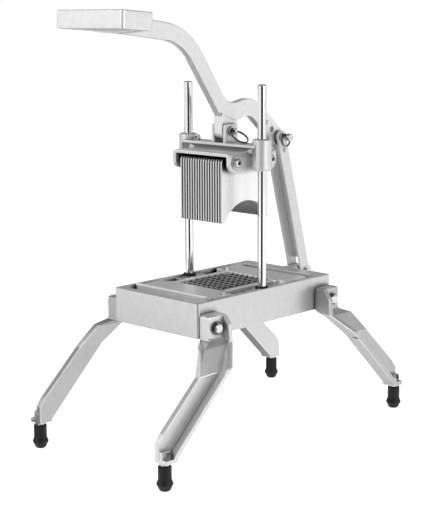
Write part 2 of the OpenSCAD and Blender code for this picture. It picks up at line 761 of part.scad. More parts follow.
// The casting that slides on the rods: two housings, a deck with the clevis ears, and a yoke
module crosshead() {
    cheek_z0 = yoke_top - cheek_h;
    color(cast) difference() {
        union() {
            for (sx = [-1, 1])
                translate([sx * rod_x, 0, housing_z0])
                    turned([[0, 0, 0], [housing_d / 2 - housing_edge, 0, 0], [housing_d / 2, housing_edge, 0],
                        [housing_d / 2, housing_h - housing_edge, 0],
                        [housing_d / 2 - housing_edge, housing_h, 0], [0, housing_h, 0]]);
            along_z(deck_top - deck_t, deck_top) rect(-rod_x, rod_x, -deck_y, deck_y);
            along_z(yoke_top - yoke_top_t / 2, deck_top - deck_t / 2) rect(-rod_x, rod_x, -beam_y, beam_y);
            intersection() {
                along_y(-yoke_y, yoke_y) difference() {
                    polygon(rounded([[-yoke_out_x, cheek_z0, 0], [yoke_out_x, cheek_z0, 0],
                        [yoke_out_x, yoke_top, yoke_r], [-yoke_out_x, yoke_top, yoke_r]]));
                    polygon(rounded([[-yoke_in_x, cheek_z0 - cut, 0], [yoke_in_x, cheek_z0 - cut, 0],
                        [yoke_in_x, yoke_top - yoke_top_t, yoke_in_r],
                        [-yoke_in_x, yoke_top - yoke_top_t, yoke_in_r]]));
                }
                along_x(-yoke_out_x, yoke_out_x)
                    polygon(rounded([[-yoke_y, cheek_z0, cheek_r], [yoke_y, cheek_z0, cheek_r],
                        [yoke_y, yoke_top, 0], [-yoke_y, yoke_top, 0]]));
            }
            for (sx = [-1, 1])
                translate([sx * (ear_gap + ear_t) / 2, 0, 0]) along_x(-ear_t / 2, ear_t / 2)
                    polygon(rounded([[ear_front, deck_top - deck_t / 2, 0],
                        [ear_back, deck_top - deck_t / 2, 0],
                        [ear_back, deck_top + ear_h, ear_r], [ear_front, deck_top + ear_h, ear_r]]));
            along_y(-eye_t / 2, eye_t / 2)
                translate([eye_x, deck_top + eye_r - deck_t / 2]) circle(r = eye_r);
        }
        for (sx = [-1, 1])
            translate([sx * rod_x, 0, housing_z0 - cut]) cylinder(d = bush_d, h = housing_h + 2 * cut);
        translate([0, 0, pivot_z]) lay_x()
            cylinder(d = pin_d + 2 * running_gap, h = 2 * ear_gap, center = true);
        for (sy = [-1, 1])
            translate([0, sy * tie_y, tie_z]) lay_x()
                cylinder(d = tie_d + 2 * tie_hole_gap, h = 3 * yoke_out_x, center = true);
        along_y(-eye_t, eye_t) translate([eye_x, deck_top + eye_r - deck_t / 4]) circle(d = eye_hole_d);
        for (sx = [-1, 1])
            along_z(cheek_z0 - cut, yoke_top - yoke_top_t / 2)
                translate([sx * (yoke_out_x + cut / 2), 0])
                    square([2 * cheek_relief + cut, 2 * cheek_relief_y], center = true);
    }
}
module guide_bush(sx) {
    color(bronze) translate([sx * rod_x, 0, housing_z0 + bush_in]) difference() {
        cylinder(d = bush_d, h = housing_h - 2 * bush_in);
        translate([0, 0, -cut]) cylinder(d = rod_d + 2 * running_gap, h = housing_h + 2 * cut);
    }
}
module guide_bush_left() { guide_bush(-1); }
module guide_bush_right() { guide_bush(1); }

// Pusher plates: thin upright plates with an arched lower edge, strung on two tie bolts
module pusher_plates() {
    front = pusher_mid_y - pusher_depth / 2;
    back = pusher_mid_y + pusher_depth / 2;
    half = pusher_arch_w / 2;
    arch_r = (half * half + pusher_arch_h * pusher_arch_h) / (2 * pusher_arch_h);
    reach = asin(half / arch_r);
    arch = [for (i = [0 : pusher_arch_steps])
        let (angle = reach * (1 - 2 * i / pusher_arch_steps))
        [pusher_mid_y + arch_r * sin(angle), pusher_z0 + pusher_arch_h - arch_r * (1 - cos(angle)), 0]];
    outline = rounded(concat(
        [[front, pusher_z0, pusher_foot_r], [front, pusher_z0 + pusher_h, pusher_corner_r],
        [back, pusher_z0 + pusher_h, pusher_corner_r], [back, pusher_z0, pusher_foot_r]],
        arch));
    color(steel) for (i = [0 : pusher_count - 1])
        translate([(i - (pusher_count - 1) / 2) * pusher_pitch, 0, 0])
            along_x(-pusher_t / 2, pusher_t / 2) difference() {
                polygon(outline);
                for (sy = [-1, 1]) translate([sy * tie_y, tie_z]) circle(d = tie_d + 2 * tie_hole_gap);
            }
}
module at_ties(x) {
    for (sy = [-1, 1]) translate([x, sy * tie_y, tie_z]) lay_x() children();
}
module tie_washer(d, h) {
    difference() {
        cylinder(d = d, h = h);
        translate([0, 0, -cut]) cylinder(d = tie_d + 2 * tie_hole_gap, h = h + 2 * cut);
    }
}
module plate_spacers() {
    pack = (pusher_count - 1) / 2 * pusher_pitch + pusher_t / 2;
    color(steel) {
        for (i = [0 : pusher_count - 2])
            at_ties((i - (pusher_count - 1) / 2) * pusher_pitch + pusher_t / 2)
                tie_washer(spacer_d, pusher_pitch - pusher_t);
        at_ties(pack) tie_washer(spacer_d, yoke_in_x - pack);
        at_ties(-yoke_in_x) tie_washer(spacer_d, yoke_in_x - pack);
    }
}
module tie_bolt(sy) {
    grip = yoke_out_x + tie_washer_t;
    color(zinc) translate([0, sy * tie_y, tie_z]) lay_x() {
        translate([0, 0, -grip - tie_nut_h - tie_tail])
            cylinder(d = tie_d, h = 2 * grip + tie_nut_h + tie_tail);
        translate([0, 0, grip]) difference() {
            turned([[0, 0, 0], [tie_head_d / 2, 0, 0], [tie_head_d / 2, tie_head_h, tie_head_h * 0.8],
                [0, tie_head_h, 0]]);
            translate([0, 0, tie_head_h - tie_key_depth]) linear_extrude(tie_key_depth + cut) hex(tie_key_d);
        }
    }
}
module front_tie_bolt() { tie_bolt(-1); }
module rear_tie_bolt() { tie_bolt(1); }
module tie_bolt_washers() {
    color(zinc) {
        at_ties(yoke_out_x) tie_washer(tie_washer_d, tie_washer_t);
        at_ties(-yoke_out_x - tie_washer_t) tie_washer(tie_washer_d, tie_washer_t);
    }
}
module tie_bolt_nuts() {
    color(zinc) at_ties(-yoke_out_x - tie_washer_t - tie_nut_h) difference() {
        linear_extrude(tie_nut_h) hex(tie_nut_w);
        translate([0, 0, -cut]) cylinder(d = tie_d, h = tie_nut_h + 2 * cut);
    }
}

// The lever is one casting: a swan-necked arm, a tongue between the ears, a tail and a loop handle
module lever() {
    o = [0, pivot_z];
    u = [lever_reach, lever_rise];
    run = [cos(tail_slope), sin(tail_slope)];
    up = [-run[1], run[0]];
    tail = [tail_pivot_y, tail_pivot_z];
    tip = tail_r * 0.98;
    tail_top = tail + tail_r * (run + up);
    tail_low = tail + tail_r * (run - up);
    hub = [[hub_r * 1.1, pivot_z - hub_r, hub_r * 0.95], [-hub_r, pivot_z - hub_r, hub_r * 0.95]];
    arm = concat(
        placed(arm_top_share, o, u, arm_top_r),
        [[tail_top[0], tail_top[1], tip], [tail_low[0], tail_low[1], tip]],
        placed(arm_low_share, o, u, arm_low_r),
        hub,
        placed(arm_under_share, o, u, arm_under_r));
    tongue = concat(hub, placed(tongue_share, o, u, 0));
    color(cast) difference() {
        union() {
            along_x(-arm_t / 2, arm_t / 2) polygon(rounded(arm));
            along_x(-tongue_t / 2, tongue_t / 2) polygon(rounded(tongue));
            translate([0, -lever_reach, pivot_z + lever_rise]) rotate([handle_tilt, 0, 0]) handle();
        }
        translate([0, 0, pivot_z]) lay_x()
            cylinder(d = pin_d + 2 * running_gap, h = 2 * tongue_t, center = true);
        for (i = [0 : 2])
            translate([0, tail[0] - i * tail_hole_pitch * run[0], tail[1] - i * tail_hole_pitch * run[1]])
                lay_x() cylinder(d = i == 0 ? pin_d + 2 * running_gap : tail_hole_d, h = 2 * arm_t,
                    center = true);
    }
}
// The handle: a flat loop whose back bar swells where the arm meets it
module handle() {
    belly_x = handle_w / 2 * handle_belly_share;
    along_z(0, handle_h) difference() {
        rect(-handle_w / 2, handle_w / 2, 0, handle_depth, handle_r);
        rect(-handle_w / 2 + handle_side, handle_w / 2 - handle_side,
            handle_front, handle_depth - handle_back, handle_in_r);
    }
    along_y(handle_depth - handle_back, handle_depth)
        polygon(concat(
            [for (i = [0 : handle_belly_steps])
                let (t = 2 * i / handle_belly_steps - 1)
                [t * belly_x, -handle_belly * (1 - t * t)]],
            [[belly_x, handle_belly], [-belly_x, handle_belly]]));
}

// The link: a channel with an open front, pinned to the lever's tail and to the tray's lug
module in_link() {
    translate([0, tail_pivot_y, tail_pivot_z]) rotate([link_lean, 0, 0]) children();
}
module link() {
    inner = link_w / 2 - link_t;
    r = link_end_r;
    color(cast) in_link() difference() {
        along_x(-link_w / 2, link_w / 2)
            polygon(rounded([[-r, -link_len - r, r * 0.98], [r, -link_len - r, r * 0.98],
                [r, r, r * 0.98], [-r, r, r * 0.98]]));
        along_x(-inner, inner) {
            rect(-r - cut, r - link_t, -link_len - r - cut, r + cut);
            rect(0, r + cut, -link_web_top, r + cut);
            rect(0, r + cut, -link_len - r - cut, -link_len + link_web_foot);
        }
        for (z = [0, -link_len])
            translate([0, 0, z]) lay_x() cylinder(d = pin_d + 2 * running_gap, h = 2 * link_w, center = true);
        translate([0, 0, -link_hole_pitch]) lay_x() cylinder(d = link_hole_d, h = 2 * link_w, center = true);
    }
}
module link_spacers() {
    inner = link_w / 2 - link_t;
    x0 = arm_t / 2 + side_gap;
    color(zinc) in_link() for (sx = [-1, 1])
        mirror([sx < 0 ? 1 : 0, 0, 0]) translate([x0, 0, 0]) lay_x() difference() {
            cylinder(d = link_spacer_d, h = inner - x0);
            translate([0, 0, -cut]) cylinder(d = pin_d + 2 * running_gap, h = inner - x0 + 2 * cut);
        }
}
module link_foot_pin() {
    x0 = -link_w / 2;
    color(zinc) translate([x0, link_foot_y, link_foot_z]) lay_x() {
        cylinder(d = pin_d, h = link_w + foot_pin_tail);
        translate([0, 0, -foot_pin_head_t])
            turned([[0, 0, 0], [foot_pin_head_d / 2, 0, pin_edge], [foot_pin_head_d / 2, foot_pin_head_t, 0],
                [0, foot_pin_head_t, 0]]);
    }
}
module link_foot_clips() {
    color(zinc) translate([link_w / 2, link_foot_y, link_foot_z]) lay_x() difference() {
        cylinder(d = clip_d, h = clip_t);
        translate([0, 0, -cut]) cylinder(d = pin_d, h = clip_t + 2 * cut);
    }
}

// A pull pin from its tail at x0 to its collar, which stands just off the face at x1
module pin_shank(x0, x1) {
    translate([x0, 0, 0]) lay_x() {
        turned([[0, 0, 0], [pin_d / 2 - pin_edge, 0, 0], [pin_d / 2, pin_edge, 0],
            [pin_d / 2, x1 + collar_gap - x0, 0], [0, x1 + collar_gap - x0, 0]]);
        translate([0, 0, x1 + collar_gap - x0]) cylinder(d = collar_d, h = collar_t);
    }
}
module clevis_pin() {
    color(zinc) translate([0, 0, pivot_z]) difference() {
        union() {
            pin_shank(-ear_x - pin_tail, ear_x);
            along_y(-tab_t / 2, tab_t / 2)
                polygon(rounded([[tab_x0 - collar_t / 2, -tab_w / 2, 0],
                    [tab_x0 + tab_len, -tab_w / 2, tab_w / 3], [tab_x0 + tab_len, tab_w / 2, tab_w / 3],
                    [tab_x0 - collar_t / 2, tab_w / 2, 0]]));
        }
        along_y(-tab_t, tab_t) translate([tab_x0 + tab_len - tab_hole_in, 0]) circle(d = tab_hole_d);
    }
}
module clevis_ring() {
    color(zinc) translate([tab_x0 + tab_len - tab_hole_in, 0, pivot_z]) rotate([0, ring_slope, 0])
        translate([clevis_ring_d / 2, 0, 0]) ring_of(clevis_ring_d);
}
module rear_pin() {
    x1 = link_w / 2;
    neck_x = x1 + collar_gap + collar_t;
    color(zinc) translate([0, tail_pivot_y, tail_pivot_z]) {
        pin_shank(-x1 - pin_tail, x1);
        translate([neck_x - cut, 0, 0]) lay_x() cylinder(d = neck_d, h = neck_len + 2 * cut);
        translate([neck_x + neck_len, 0, 0]) lay_x()
            turned([[0, 0, 0], [knob_d / 2, 0, pin_edge], [knob_d / 2, knob_t, pin_edge], [0, knob_t, 0]]);
    }
}
module rear_ring() {
    hang = rear_ring_d / 2 - ring_wire / 2 - neck_d / 2 - ring_gap;
    ring_x = link_w / 2 + collar_gap + collar_t + neck_len / 2;
    color(zinc) translate([ring_x, tail_pivot_y, tail_pivot_z - hang]) lay_x() ring_of(rear_ring_d);
}

base_frame();
leg_front_left();
leg_front_right();
leg_rear_left();
leg_rear_right();
leg_bolts();
leg_washers();
leg_nuts();
rubber_feet();
foot_studs();
foot_nuts();
guide_rod_left();
guide_rod_right();
rod_screws();
rod_bumpers();
blade_frame();
long_blades();
cross_blades();
blade_studs();
blade_nuts();
crosshead();
guide_bush_left();
guide_bush_right();
pusher_plates();
plate_spacers();
front_tie_bolt();
rear_tie_bolt();
tie_bolt_washers();
tie_bolt_nuts();
lever();
link();
link_spacers();
link_foot_pin();
link_foot_clips();
clevis_pin();
clevis_ring();
rear_pin();
rear_ring();
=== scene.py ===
"""The looks of a french fry cutter: finishes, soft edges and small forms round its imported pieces."""

import json
import math

import bmesh
import bpy
from mathutils import Matrix, Vector

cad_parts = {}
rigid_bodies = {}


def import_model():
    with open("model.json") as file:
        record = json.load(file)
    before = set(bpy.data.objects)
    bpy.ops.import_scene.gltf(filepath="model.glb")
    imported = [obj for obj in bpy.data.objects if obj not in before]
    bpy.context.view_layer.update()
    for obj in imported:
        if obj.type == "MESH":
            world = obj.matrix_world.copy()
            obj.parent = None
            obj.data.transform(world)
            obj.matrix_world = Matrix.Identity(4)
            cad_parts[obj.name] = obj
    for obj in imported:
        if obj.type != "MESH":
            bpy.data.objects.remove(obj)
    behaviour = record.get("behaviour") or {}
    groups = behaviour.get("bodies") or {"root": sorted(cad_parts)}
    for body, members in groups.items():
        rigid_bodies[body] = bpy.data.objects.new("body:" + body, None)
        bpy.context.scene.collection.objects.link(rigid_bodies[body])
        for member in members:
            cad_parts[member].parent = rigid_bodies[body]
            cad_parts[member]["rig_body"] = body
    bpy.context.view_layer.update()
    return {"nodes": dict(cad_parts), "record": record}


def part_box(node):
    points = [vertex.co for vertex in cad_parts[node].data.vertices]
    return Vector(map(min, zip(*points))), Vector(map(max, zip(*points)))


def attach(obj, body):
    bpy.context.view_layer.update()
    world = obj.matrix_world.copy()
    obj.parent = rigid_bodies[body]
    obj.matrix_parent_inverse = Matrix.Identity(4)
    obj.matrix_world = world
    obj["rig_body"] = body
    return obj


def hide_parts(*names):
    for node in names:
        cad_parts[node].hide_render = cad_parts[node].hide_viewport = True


bl_info = {
    "name": "French Fry Cutter",
    "version": (1, 0, 0),
    "blender": (4, 5, 0),
    "location": "3D View > Sidebar > Fry Cutter",
    "description": "Dresses the pieces of a lever press in their finishes and sets its stage",
    "category": "Object",
}

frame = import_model()

MM = 0.001
MERGE_GAP = 0.004 * MM
FLAT_ANGLE = math.radians(0.6)

# An edge is rounded if its faces turn by more than SHARP_ANGLE and it is ROOM radii long. A shorter one is
# rounded too where it goes on into the next one almost straight, at more than CHAIN_ANGLE.
SHARP_ANGLE = math.radians(32)
ROOM = 2.1
CHAIN_ANGLE = math.radians(140)
# Faces that turn by less than SMOOTH_ANGLE are shaded as one surface
SMOOTH_ANGLE = math.radians(38)

# Where the tray's pocket lies, and the heights between which painted shade darkens it
POCKET = {"half_width": 80.3 * MM, "half_length": 130 * MM, "bottom": 220 * MM, "top": 225 * MM}
# What the lamps point at
LAMP_TARGET = Vector((0, 0, 0.3))


# Sizes and colours that a user would change

class CastingSettings(bpy.types.PropertyGroup):
    """Cast aluminium pieces"""
    tray_edge: bpy.props.FloatProperty(
        name="Tray edge", description="Radius of the tray's edges",
        default=1.0 * MM, min=0, unit="LENGTH")
    leg_edge: bpy.props.FloatProperty(
        name="Leg edge", description="Radius of the legs' edges",
        default=1.2 * MM, min=0, unit="LENGTH")
    carriage_edge: bpy.props.FloatProperty(
        name="Carriage edge", description="Radius of the crosshead's edges",
        default=0.8 * MM, min=0, unit="LENGTH")
    lever_edge: bpy.props.FloatProperty(
        name="Lever edge", description="Radius of the lever's edges",
        default=1.6 * MM, min=0, unit="LENGTH")
    link_edge: bpy.props.FloatProperty(
        name="Link edge", description="Radius of the link's edges",
        default=0.6 * MM, min=0, unit="LENGTH")
    lip_height: bpy.props.FloatProperty(
        name="Lip's height", description="How far the lip at the front of the blade frame stands up",
        default=2.4 * MM, min=0.5 * MM, unit="LENGTH")
    lip_width: bpy.props.FloatProperty(
        name="Lip's width", description="How wide the lip at the front of the blade frame is",
        default=4.6 * MM, min=0.5 * MM, unit="LENGTH")
    dark: bpy.props.FloatVectorProperty(
        name="Dark casting", description="Colour of the casting's darker clouds",
        default=(0.60, 0.60, 0.605), size=3, min=0, max=1, subtype="COLOR")
    light: bpy.props.FloatVectorProperty(
        name="Light casting", description="Colour of the casting's lighter clouds",
        default=(0.66, 0.66, 0.665), size=3, min=0, max=1, subtype="COLOR")
    # Colour of the painted highlight on the castings' rounded edges
    edge: bpy.props.FloatVectorProperty(
        name="Painted edge highlight", description="Colour of the casting's rounded edges",
        default=(0.95, 0.95, 0.95), size=3, min=0, max=1, subtype="COLOR")
    # Width of the painted highlight along the edges
    edge_seen: bpy.props.FloatProperty(
        name="Width of wear", description="How far the wear reaches in from an edge",
        default=1.2 * MM, min=0, unit="LENGTH")
    # Reach of the painted shade that darkens corners and gaps on the castings
    painted_shade_reach: bpy.props.FloatProperty(
        name="Painted shade reach", description="How far off a wall darkens a corner",
        default=7 * MM, min=0, unit="LENGTH")
    lever_paleness: bpy.props.FloatProperty(
        name="Lever's paleness", description="How much paler the lever is than the other castings",
        default=1.25, min=0, max=1.5, subtype="FACTOR")


class SteelSettings(bpy.types.PropertyGroup):
    """Rods, plates, blades and fasteners"""
    rod: bpy.props.FloatVectorProperty(
        name="Rod", description="Colour of the ground rods",
        default=(0.80, 0.80, 0.805), size=3, min=0, max=1, subtype="COLOR")
    plate: bpy.props.FloatVectorProperty(
        name="Plate", description="Colour of the pusher plates",
        default=(0.92, 0.92, 0.92), size=3, min=0, max=1, subtype="COLOR")
    blade: bpy.props.FloatVectorProperty(
        name="Blade", description="Colour of the blades",
        default=(0.72, 0.72, 0.73), size=3, min=0, max=1, subtype="COLOR")
    zinc: bpy.props.FloatVectorProperty(
        name="Zinc", description="Colour of the plated fasteners",
        default=(0.70, 0.70, 0.71), size=3, min=0, max=1, subtype="COLOR")
    spring: bpy.props.FloatVectorProperty(
        name="Spring steel", description="Colour of the lock washers and split rings",
        default=(0.16, 0.16, 0.165), size=3, min=0, max=1, subtype="COLOR")
    bronze: bpy.props.FloatVectorProperty(
        name="Bronze", description="Colour of the guide bushes",
        default=(0.42, 0.29, 0.13), size=3, min=0, max=1, subtype="COLOR")
    fastener_edge: bpy.props.FloatProperty(
        name="Fastener edge", description="Radius of the fasteners' edges",
        default=0.25 * MM, min=0, unit="LENGTH")
    plate_edge: bpy.props.FloatProperty(
        name="Plate edge", description="Radius of the pusher plates' edges",
        default=0.35 * MM, min=0, unit="LENGTH")


class RubberSettings(bpy.types.PropertyGroup):
    """Feet and bumpers"""
    colour: bpy.props.FloatVectorProperty(
        name="Rubber", description="Colour of the rubber",
        default=(0.006, 0.006, 0.006), size=3, min=0, max=1, subtype="COLOR")
    edge: bpy.props.FloatProperty(
        name="Rubber edge", description="Radius of the rubber's edges",
        default=0.6 * MM, min=0, unit="LENGTH")


class StageSettings(bpy.types.PropertyGroup):
    """Camera, lamps, floor and cards"""
    camera_place: bpy.props.FloatVectorProperty(
        name="Camera", description="Where the camera stands",
        default=(1.31316, -1.39362, 0.61931), size=3, subtype="XYZ", unit="LENGTH")
    camera_yaw: bpy.props.FloatProperty(
        name="Yaw", description="Camera's turn from the back towards the left",
        default=math.radians(43.53), subtype="ANGLE", unit="ROTATION")
    camera_pitch: bpy.props.FloatProperty(
        name="Pitch", description="How far the camera looks down",
        default=math.radians(10.51), subtype="ANGLE", unit="ROTATION")
    camera_roll: bpy.props.FloatProperty(
        name="Roll", description="Camera's roll",
        default=math.radians(-0.24), subtype="ANGLE", unit="ROTATION")
    lens: bpy.props.FloatProperty(
        name="Lens", description="Focal length on a sensor 36 mm wide",
        default=91.9, min=10, unit="CAMERA")
    floor_grey: bpy.props.FloatProperty(
        name="Floor", description="Share of the light that the floor gives back",
        default=0.80, min=0, max=1, subtype="FACTOR")
    floor_lift: bpy.props.FloatProperty(
        name="Floor lift", description="White added where the floor is seen, so that it fades away",
        default=0.80, min=0, max=1, subtype="FACTOR")
    sky: bpy.props.FloatProperty(
        name="Side light", description="Strength of the soft light from all round",
        default=0.80, min=0, subtype="FACTOR")
    overhead: bpy.props.FloatProperty(
        name="Overhead light", description="Strength of the soft light from straight above",
        default=0.10, min=0, subtype="FACTOR")
    key_power: bpy.props.FloatProperty(
        name="Key lamp", description="Power of the large lamp at the front left",
        default=26.0, min=0, unit="POWER")
    fill_power: bpy.props.FloatProperty(
        name="Fill lamp", description="Power of the lamp at the right",
        default=16.0, min=0, unit="POWER")
    rear_power: bpy.props.FloatProperty(
        name="Rear lamp", description="Power of the lamp behind",
        default=10.0, min=0, unit="POWER")


class FryCutterSettings(bpy.types.PropertyGroup):
    """All settings of the fry cutter"""
    casting: bpy.props.PointerProperty(type=CastingSettings)
    steel: bpy.props.PointerProperty(type=SteelSettings)
    rubber: bpy.props.PointerProperty(type=RubberSettings)
    stage: bpy.props.PointerProperty(type=StageSettings)


# Finishes

class Finish:
    """A material in the making: its shader, and textures placed in the piece's own coordinates"""
    # Samples for the painted shade in gaps and corners
    painted_shade_samples = 8
    rounding_samples = 6

    def __init__(self, name):
        self.material = bpy.data.materials.new(name)
        self.material.use_nodes = True
        tree = self.material.node_tree
        self.nodes = tree.nodes
        self.links = tree.links
        self.shader = tree.nodes["Principled BSDF"]
        self.place = tree.nodes.new("ShaderNodeTexCoord").outputs["Object"]

    def set(self, **values):
        """Sets the shader's own sockets to plain values."""
        for name, value in values.items():
            self.shader.inputs[name.replace("_", " ")].default_value = value

    def feed(self, socket, output):
        """Drives one of the shader's sockets."""
        self.links.new(output, self.shader.inputs[socket])

    def roughen(self, value, least, most):
        """Lets the roughness go from least to most with a value."""
        self.feed("Roughness", self.spread(value, least, most))

    def noise(self, scale, detail=2.0, stretch=(1, 1, 1)):
        """A cloudy value round 0.5, with its clouds drawn out or squeezed along the axes."""
        mapping = self.nodes.new("ShaderNodeMapping")
        mapping.inputs["Scale"].default_value = stretch
        self.links.new(self.place, mapping.inputs["Vector"])
        texture = self.nodes.new("ShaderNodeTexNoise")
        texture.inputs["Scale"].default_value = scale
        texture.inputs["Detail"].default_value = detail
        self.links.new(mapping.outputs["Vector"], texture.inputs["Vector"])
        return texture.outputs["Fac"]

    def spread(self, value, low, high, start=0.3, end=0.7):
        """A value that goes from low to high while the given one goes from start to end."""
        node = self.nodes.new("ShaderNodeMapRange")
        for name, number in (("From Min", start), ("From Max", end), ("To Min", low), ("To Max", high)):
            node.inputs[name].default_value = number
        self.links.new(value, node.inputs["Value"])
        return node.outputs["Result"]

    def reckon(self, operation, *values):
        """The outcome of a sum; each value is an output or a number."""
        node = self.nodes.new("ShaderNodeMath")
        node.operation = operation
        for socket, value in zip(node.inputs, values):
            if isinstance(value, bpy.types.NodeSocket):
                self.links.new(value, socket)
            else:
                socket.default_value = value
        return node.outputs[0]

    def axes(self, vector):
        """The three parts of a vector, by the names X, Y and Z."""
        node = self.nodes.new("ShaderNodeSeparateXYZ")
        self.links.new(vector, node.inputs[0])
        return node.outputs

    def mix(self, factor, first, second):
        """A colour between two others; each is an output or a plain colour."""
        node = self.nodes.new("ShaderNodeMix")
        node.data_type = "RGBA"
        self.links.new(factor, node.inputs["Factor"])
        ends = [socket for socket in node.inputs if socket.type == "RGBA"]
        for socket, colour in zip(ends, (first, second)):
            if isinstance(colour, bpy.types.NodeSocket):
                self.links.new(colour, socket)
            else:
                socket.default_value = (*colour, 1)
        return next(socket for socket in node.outputs if socket.type == "RGBA")

    def clouded(self, value, colour, darkest):
        """A plain colour that goes down to its darkest share where the value is nought."""
        return self.mix(value, shade(colour, darkest), colour)

    def dimmed(self, colour, share):
        """A colour of which only a share is left."""
        node = self.nodes.new("ShaderNodeVectorMath")
        node.operation = "SCALE"
        self.links.new(colour, node.inputs[0])
        self.links.new(share, node.inputs["Scale"])
        return node.outputs["Vector"]

    def painted_shade(self, colour, reach, darkest, start=0.3, end=0.9):
        """Painted shade: a colour that goes dark in gaps and corners, where little light comes in from
        within reach.
        """
        node = self.nodes.new("ShaderNodeAmbientOcclusion")
        node.samples = self.painted_shade_samples
        node.inputs["Distance"].default_value = reach
        return self.dimmed(colour, self.spread(node.outputs["AO"], darkest, 1, start, end))

    def limited(self, value, limit, fade):
        """One while the value's size stays within a limit, and nought from fade beyond it on."""
        return self.spread(self.reckon("ABSOLUTE", value), 1, 0, limit, limit + fade)

    def painted_pocket_shade(self, colour, half_width, half_length, bottom, top, darkest):
        """Painted shade: a colour that goes dark with depth inside a pocket."""
        place = self.axes(self.place)
        inside = self.reckon(
            "MULTIPLY", self.limited(place["X"], half_width, MM), self.limited(place["Y"], half_length, MM))
        loss = self.reckon("MULTIPLY", inside, self.spread(place["Z"], 1 - darkest, 0, bottom, top))
        return self.dimmed(colour, self.reckon("SUBTRACT", 1, loss))

    def rounded(self, radius):
        """The normal as it would be with rounded edges."""
        node = self.nodes.new("ShaderNodeBevel")
        node.samples = self.rounding_samples
        node.inputs["Radius"].default_value = radius
        return node.outputs["Normal"]

    def own_normal(self):
        """The normal of the face itself."""
        return self.nodes.new("ShaderNodeNewGeometry").outputs["Normal"]

    def painted_edge_highlight(self, colour, bright, rounded, least=0.006, most=0.06):
        """A painted highlight: a colour that turns bright while the rounded normal leaves the face's own by
        least to most.
        """
        likeness = self.nodes.new("ShaderNodeVectorMath")
        likeness.operation = "DOT_PRODUCT"
        self.links.new(rounded, likeness.inputs[0])
        self.links.new(self.own_normal(), likeness.inputs[1])
        edge = self.spread(likeness.outputs["Value"], 0, 1, 1 - least, 1 - most)
        return self.mix(edge, colour, bright)

    def facing(self, colour, axis, other, limit=0.6, fade=0.2):
        """A colour that gives way to the other one on faces that look along an axis, either way."""
        away = self.limited(self.axes(self.own_normal())[axis], limit, fade)
        return self.mix(away, other, colour)

    def bump(self, height, distance, strength, under=None):
        """A normal with a relief, laid over the one under it."""
        node = self.nodes.new("ShaderNodeBump")
        node.inputs["Distance"].default_value = distance
        node.inputs["Strength"].default_value = strength
        self.links.new(height, node.inputs["Height"])
        if under is not None:
            self.links.new(under, node.inputs["Normal"])
        return node.outputs["Normal"]


def shade(colour, share):
    """A plain colour made darker or lighter."""
    return tuple(min(1.0, channel * share) for channel in colour)


def casting(
        name, sizes, paleness=1.0, metallic=0.7, reach=1.0, edge=1.0, highlight=1.0, rough=0.32,
        front=None, pocket=None):
    """Blasted cast metal: soft clouds, a fine grain, painted highlights on the edges and painted shade in
    corners and gaps.

    The share called front paints a highlight on the faces that look along Y, and a pocket paints shade that
    deepens inside the tray's pocket.
    """
    finish = Finish(name)
    clouds = finish.spread(finish.noise(scale=150, detail=4), low=0, high=1)
    colour = finish.mix(clouds, shade(sizes.dark, paleness), shade(sizes.light, paleness))
    rounded = finish.rounded(sizes.edge_seen * highlight)
    # Painted highlight along the rounded edges
    colour = finish.painted_edge_highlight(colour, shade(sizes.edge, paleness * edge), rounded)
    if front is not None:
        # Painted highlight on the faces that look along Y
        colour = finish.facing(colour, "Y", other=shade(sizes.edge, front), limit=0.3)
    if pocket is not None:
        # Painted shade deep inside the pocket
        colour = finish.painted_pocket_shade(colour, **pocket, darkest=0.12)
    waves = finish.bump(finish.noise(scale=160, detail=3), distance=0.10 * MM, strength=0.25, under=rounded)
    grain = finish.bump(finish.noise(scale=1500), distance=0.04 * MM, strength=0.4, under=waves)
    # Painted shade in corners and gaps
    finish.feed("Base Color", finish.painted_shade(colour, sizes.painted_shade_reach * reach, darkest=0.08))
    finish.roughen(finish.noise(scale=90, detail=4), least=rough, most=rough + 0.08)
    finish.feed("Normal", grain)
    finish.set(Metallic=metallic)
    return finish.material


def ground_steel(steel):
    """Ground bar, with fine rings round it."""
    finish = Finish("ground_steel")
    rings = finish.noise(scale=60, detail=3, stretch=(1, 1, 40))
    finish.feed("Base Color", finish.clouded(rings, steel.rod, darkest=0.9))
    finish.roughen(rings, least=0.07, most=0.14)
    finish.feed("Normal", finish.bump(rings, distance=0.02 * MM, strength=0.2))
    finish.set(Metallic=1.0)
    return finish.material


def brushed_sheet(steel):
    """Rolled sheet with brushed faces, duller sheared edges and painted shade in the gaps between the
    plates.
    """
    finish = Finish("brushed_sheet")
    lines = finish.noise(scale=30, detail=4, stretch=(1, 45, 1))
    colour = finish.clouded(lines, steel.plate, darkest=0.9)
    colour = finish.facing(colour, "Y", other=shade(steel.plate, 0.62))
    # Painted shade in the gaps between the plates
    finish.feed("Base Color", finish.painted_shade(colour, 12 * MM, darkest=0.01, start=0.6, end=1.0))
    finish.roughen(lines, least=0.24, most=0.42)
    finish.feed("Normal", finish.bump(lines, distance=0.03 * MM, strength=0.3))
    finish.set(Metallic=0.85)
    return finish.material


def blade_steel(steel):
    """Ground blades with painted shade that darkens them down in the cells."""
    finish = Finish("blade_steel")
    lines = finish.noise(scale=40, detail=3, stretch=(1, 1, 30))
    colour = finish.clouded(lines, steel.blade, darkest=0.9)
    # Painted shade down in the cells
    finish.feed("Base Color", finish.painted_shade(colour, 14 * MM, darkest=0.01, start=0.45, end=0.75))
    finish.roughen(lines, least=0.20, most=0.34)
    finish.set(Metallic=0.8)
    return finish.material


